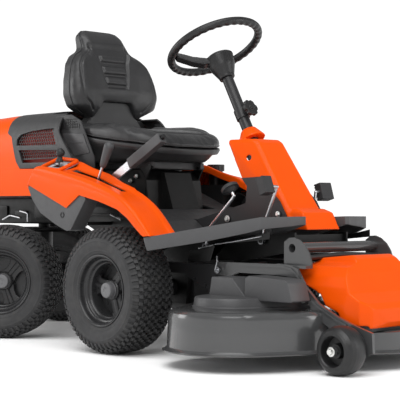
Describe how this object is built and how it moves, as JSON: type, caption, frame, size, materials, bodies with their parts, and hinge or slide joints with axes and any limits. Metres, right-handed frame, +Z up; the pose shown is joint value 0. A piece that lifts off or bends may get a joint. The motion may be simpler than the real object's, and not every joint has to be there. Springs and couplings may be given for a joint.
{
  "type": "riding lawn mower",
  "caption": "Articulated riding lawn mower with a front cutting deck, steered rear axle, padded seat, pedals and hand levers.",
  "frame": {"origin": "middle of the machine's box on the ground, in the stored pose", "axes": "+X forward, +Y to the machine's left, +Z up"},
  "size_m": [2.23, 1.09, 1.121],
  "materials": {
    "orange_plastic": "gloss",
    "grey_plastic": "satin",
    "dark_plastic": "satin",
    "black_plastic": "matte",
    "light_panel": "satin",
    "black_paint": "satin",
    "dark_paint": "satin",
    "deck_paint": "gloss",
    "tyre_rubber": "matte",
    "pad_rubber": "matte",
    "rim_paint": "satin",
    "bare_steel": "brushed",
    "seat_vinyl": "satin",
    "cast_alloy": "cast"
  },
  "bodies": {
    "chassis": {"main_frame": "black_paint", "front_axle": "dark_paint", "body_base": "dark_plastic", "right_fender": "orange_plastic", "left_fender": "orange_plastic", "side_consoles": "grey_plastic", "control_panel": "light_panel", "fuel_tank": "black_plastic", "seat_support": "black_paint", "intake_housing": "dark_plastic", "engine_block": "cast_alloy", "muffler": "bare_steel", "tunnel": "dark_paint", "cowl": "orange_plastic", "steering_column": "dark_paint", "footboards": "grey_plastic", "brake_cable": "bare_steel"},
    "rear_steer_axle": {"rear_axle": "dark_paint"},
    "front_left_wheel": {"front_left_tyre": "tyre_rubber", "front_left_rim": "rim_paint"},
    "front_right_wheel": {"front_right_tyre": "tyre_rubber", "front_right_rim": "rim_paint"},
    "rear_left_wheel": {"rear_left_tyre": "tyre_rubber", "rear_left_rim": "rim_paint"},
    "rear_right_wheel": {"rear_right_tyre": "tyre_rubber", "rear_right_rim": "rim_paint"},
    "steering_wheel": {"steering_hub": "black_plastic", "steering_ring": "black_plastic"},
    "clamp_knob": {"column_knob": "black_plastic"},
    "seat": {"seat_shell": "black_plastic", "seat_cushion": "seat_vinyl", "seat_back": "seat_vinyl"},
    "hood": {"hood_shell": "orange_plastic", "hood_frame": "grey_plastic", "vent_mesh": "dark_plastic"},
    "throttle": {"throttle_lever": "black_plastic"},
    "key": {"ignition_key": "black_plastic"},
    "forward": {"forward_pedal": "bare_steel", "forward_pad": "pad_rubber"},
    "reverse": {"reverse_pedal": "bare_steel", "reverse_pad": "pad_rubber"},
    "brake": {"brake_pedal": "bare_steel", "brake_pad": "pad_rubber"},
    "lifting_lever": {"lift_lever": "bare_steel", "lift_grip": "grey_plastic"},
    "thumb_button": {"lift_button": "black_plastic"},
    "cutting_height_lever": {"height_lever": "bare_steel", "height_knob": "grey_plastic"},
    "lift_frame": {"lift_arms": "dark_paint", "deck_arms": "deck_paint"},
    "right_pin": {"right_latch_pin": "bare_steel"},
    "left_pin": {"left_latch_pin": "bare_steel"},
    "right_support": {"right_support_wheel": "black_plastic"},
    "left_support": {"left_support_wheel": "black_plastic"},
    "deck": {"deck_shell": "deck_paint", "belt_covers": "grey_plastic", "deck_cover": "orange_plastic"},
    "right_cutter": {"right_blade": "bare_steel"},
    "middle_cutter": {"middle_blade": "bare_steel"},
    "left_cutter": {"left_blade": "bare_steel"}
  },
  "joints": [
    {"name": "front_left_spin", "type": "hinge", "parent": "chassis", "child": "front_left_wheel", "pos_m": [0.18, 0.356, 0.2035], "axis": [0, 1, 0], "continuous": true},
    {"name": "front_right_spin", "type": "hinge", "parent": "chassis", "child": "front_right_wheel", "pos_m": [0.18, -0.356, 0.2035], "axis": [0, 1, 0], "continuous": true},
    {"name": "rear_steer", "type": "hinge", "parent": "chassis", "child": "rear_steer_axle", "pos_m": [-0.674, 0, 0.4], "axis": [0, 0, 1], "range_deg": [-75.4, 4.6]},
    {"name": "rear_left_spin", "type": "hinge", "parent": "rear_steer_axle", "child": "rear_left_wheel", "pos_m": [-0.90712, 0.27107, 0.2035], "axis": [-0.5793, 0.8151, 0], "continuous": true},
    {"name": "rear_right_spin", "type": "hinge", "parent": "rear_steer_axle", "child": "rear_right_wheel", "pos_m": [-0.49467, -0.3093, 0.2035], "axis": [-0.5793, 0.8151, 0], "continuous": true},
    {"name": "steering_turn", "type": "hinge", "parent": "chassis", "child": "steering_wheel", "pos_m": [0.423, 0, 0.723], "axis": [-0.4772, 0, 0.8788], "range_deg": [-46, 754]},
    {"name": "clamp_knob_turn", "type": "hinge", "parent": "chassis", "child": "clamp_knob", "pos_m": [0.42389, 0, 0.78948], "axis": [0.8788, 0, 0.4772], "range_deg": [0, 180]},
    {"name": "seat_fold", "type": "hinge", "parent": "chassis", "child": "seat", "pos_m": [0.082, 0, 0.606], "axis": [0, 1, 0], "range_deg": [0, 50]},
    {"name": "hood_open", "type": "hinge", "parent": "chassis", "child": "hood", "pos_m": [-1.088, 0, 0.515], "axis": [0, -1, 0], "range_deg": [0, 55]},
    {"name": "throttle_turn", "type": "hinge", "parent": "chassis", "child": "throttle", "pos_m": [-0.13203, -0.354, 0.57893], "axis": [0, 1, 0], "range_deg": [-20, 20]},
    {"name": "key_turn", "type": "hinge", "parent": "chassis", "child": "key", "pos_m": [-0.08552, -0.338, 0.5951], "axis": [0.1736, 0, 0.9848], "range_deg": [0, 90]},
    {"name": "forward_press", "type": "hinge", "parent": "chassis", "child": "forward", "pos_m": [0.616, -0.14, 0.365], "axis": [0, 1, 0], "range_deg": [0, 12], "stiffness_Nm_per_rad": 12, "springref_deg": -14.32},
    {"name": "reverse_press", "type": "hinge", "parent": "chassis", "child": "reverse", "pos_m": [0.43, -0.2, 0.345], "axis": [0, 1, 0], "range_deg": [0, 12], "stiffness_Nm_per_rad": 12, "springref_deg": -14.32},
    {"name": "brake_press", "type": "hinge", "parent": "chassis", "child": "brake", "pos_m": [0.565, 0.14, 0.355], "axis": [0, 1, 0], "range_deg": [0, 14], "stiffness_Nm_per_rad": 12, "springref_deg": -14.32},
    {"name": "deck_lift", "type": "hinge", "parent": "chassis", "child": "lift_frame", "pos_m": [0.24, 0, 0.274], "axis": [0, -1, 0], "range_deg": [0, 6.5]},
    {"name": "lift_lever_turn", "type": "hinge", "parent": "chassis", "child": "lifting_lever", "pos_m": [0.001, -0.272, 0.532], "axis": [0, -1, 0], "range_deg": [0, 48.1]},
    {"name": "thumb_button_press", "type": "slide", "parent": "lifting_lever", "child": "thumb_button", "axis": [-0.8829, 0, -0.4695], "range_m": [0, 0.005], "stiffness_N_per_m": 300, "springref_m": -0.006},
    {"name": "height_lever_turn", "type": "hinge", "parent": "chassis", "child": "cutting_height_lever", "pos_m": [0.005, -0.35, 0.415], "axis": [0, 1, 0], "range_deg": [-20.5, 20.5]},
    {"name": "deck_height", "type": "slide", "parent": "lift_frame", "child": "deck", "axis": [0, 0, 1], "range_m": [-0.012, 0.012]},
    {"name": "right_support_spin", "type": "hinge", "parent": "lift_frame", "child": "right_support", "pos_m": [1.046, -0.275, 0.07], "axis": [0, 1, 0], "continuous": true},
    {"name": "left_support_spin", "type": "hinge", "parent": "lift_frame", "child": "left_support", "pos_m": [1.046, 0.275, 0.07], "axis": [0, 1, 0], "continuous": true},
    {"name": "right_pin_pull", "type": "slide", "parent": "lift_frame", "child": "right_pin", "axis": [0, -1, 0], "range_m": [0, 0.025]},
    {"name": "left_pin_pull", "type": "slide", "parent": "lift_frame", "child": "left_pin", "axis": [0, 1, 0], "range_m": [0, 0.025]},
    {"name": "middle_blade_spin", "type": "hinge", "parent": "deck", "child": "middle_cutter", "pos_m": [0.88, 0, 0.1], "axis": [0, 0, 1], "continuous": true},
    {"name": "right_blade_spin", "type": "hinge", "parent": "deck", "child": "right_cutter", "pos_m": [0.687, -0.325, 0.1], "axis": [0, 0, 1], "continuous": true},
    {"name": "left_blade_spin", "type": "hinge", "parent": "deck", "child": "left_cutter", "pos_m": [0.687, 0.325, 0.1], "axis": [0, 0, 1], "continuous": true}
  ],
  "couplings": [
    {"joint": "steering_turn", "follows": "rear_steer", "ratio": -10},
    {"joint": "lift_lever_turn", "follows": "deck_lift", "ratio": 7.38},
    {"joint": "height_lever_turn", "follows": "deck_height", "rad_per_m": -29},
    {"joint": "right_blade_spin", "follows": "middle_blade_spin", "ratio": 1},
    {"joint": "left_blade_spin", "follows": "middle_blade_spin", "ratio": 1}
  ]
}
